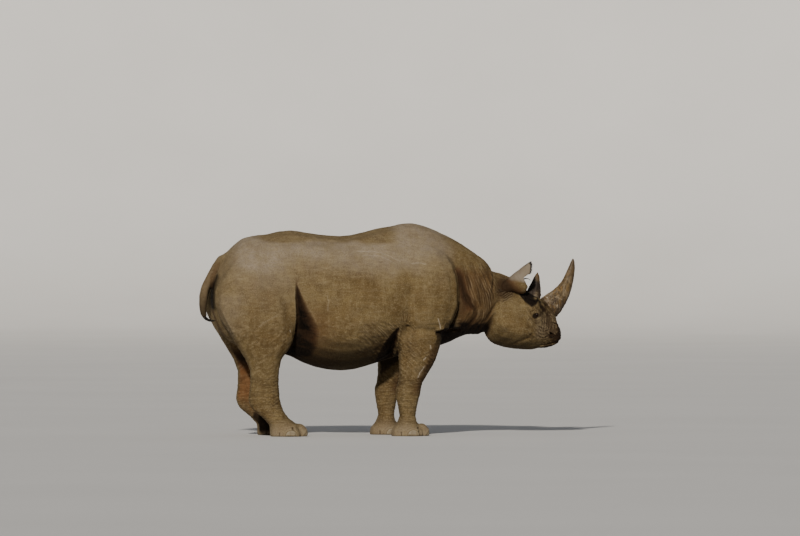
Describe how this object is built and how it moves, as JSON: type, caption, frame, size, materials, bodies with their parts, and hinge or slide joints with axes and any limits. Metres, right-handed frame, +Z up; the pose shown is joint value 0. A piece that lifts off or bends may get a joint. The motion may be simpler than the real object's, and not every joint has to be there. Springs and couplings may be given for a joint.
{
  "type": "black rhinoceros",
  "caption": "Life-size black rhinoceros standing still: heavy barrel body on short legs, low head turned slightly left, long front horn and short rear horn.",
  "frame": {"origin": "on the ground, under the middle of the animal's box", "axes": "+X towards the head, +Y to the animal's left, +Z up"},
  "size_m": [2.9054, 0.8938, 1.6085],
  "materials": {
    "skin": "matt, creased and dusty",
    "horn": "fibrous keratin, matt at the base and worn smoother at the tip",
    "nail": "dull dusty keratin",
    "eye": "wet gloss",
    "hair": "coarse black bristle"
  },
  "bodies": {
    "root": {"horn_front": "horn", "horn_rear": "horn", "tail": "skin", "tail_tuft": "hair", "ear_right": "skin", "ear_left": "skin", "eye_right": "eye", "eye_left": "eye", "hindleg_right_nail_middle": "nail", "hindleg_right_nail_outer": "nail", "hindleg_right_nail_inner": "nail", "hindleg_left_nail_middle": "nail", "hindleg_left_nail_outer": "nail", "hindleg_left_nail_inner": "nail", "foreleg_right_nail_middle": "nail", "foreleg_right_nail_outer": "nail", "foreleg_right_nail_inner": "nail", "foreleg_left_nail_middle": "nail", "foreleg_left_nail_outer": "nail", "foreleg_left_nail_inner": "nail", "hindleg_right_thigh": "skin", "hindleg_right_shank": "skin", "hindleg_right_foot": "skin", "hindleg_left_thigh": "skin", "hindleg_left_shank": "skin", "hindleg_left_foot": "skin", "foreleg_right_upper": "skin", "foreleg_right_lower": "skin", "foreleg_right_foot": "skin", "foreleg_left_upper": "skin", "foreleg_left_lower": "skin", "foreleg_left_foot": "skin", "head": "skin", "neck": "skin", "trunk": "skin"}
  },
  "joints": []
}
